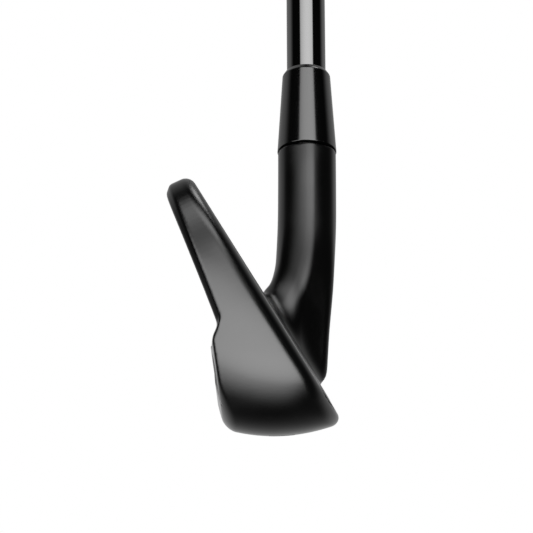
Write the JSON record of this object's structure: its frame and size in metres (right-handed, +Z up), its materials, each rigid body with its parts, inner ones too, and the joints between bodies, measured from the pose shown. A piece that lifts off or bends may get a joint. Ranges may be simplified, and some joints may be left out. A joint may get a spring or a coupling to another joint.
{
  "type": "iron golf club",
  "caption": "Right-handed hollow-body iron golf club: lofted black steel head with an inset face, ferrule, stepped steel shaft and tapered rubber grip.",
  "frame": {"origin": "middle of the small flat on the sole that the club rests on at address", "axes": "+X from the toe to the heel, +Y towards the back so the face looks towards -Y, +Z up with the sole flat on the ground; the shaft leans towards +X at 62.5 degrees to the ground"},
  "size_m": [0.5211, 0.0494, 0.8398],
  "materials": {
    "head_black": "satin black",
    "face_steel": "dark satin, fine brushing",
    "foam": "matte foam",
    "tungsten": "dull grey metal",
    "screw_steel": "machined steel",
    "badge_tape": "matte foam tape",
    "badge_metal": "black, finely brushed",
    "brass": "machined brass",
    "shaft_black": "gloss black",
    "ferrule_plastic": "gloss black",
    "grip_tape": "paper tape",
    "grip_rubber": "matte moulded rubber",
    "cap_rubber": "matte moulded rubber"
  },
  "bodies": {
    "root": {"head_body": "head_black", "face_plate": "face_steel", "foam_core": "foam", "toe_weight": "tungsten", "fill_port_screw": "screw_steel", "badge_tape": "badge_tape", "back_badge": "badge_metal", "tip_weight": "brass", "shaft": "shaft_black", "ferrule": "ferrule_plastic", "grip_tape": "grip_tape", "grip": "grip_rubber", "grip_cap": "cap_rubber"}
  },
  "joints": []
}
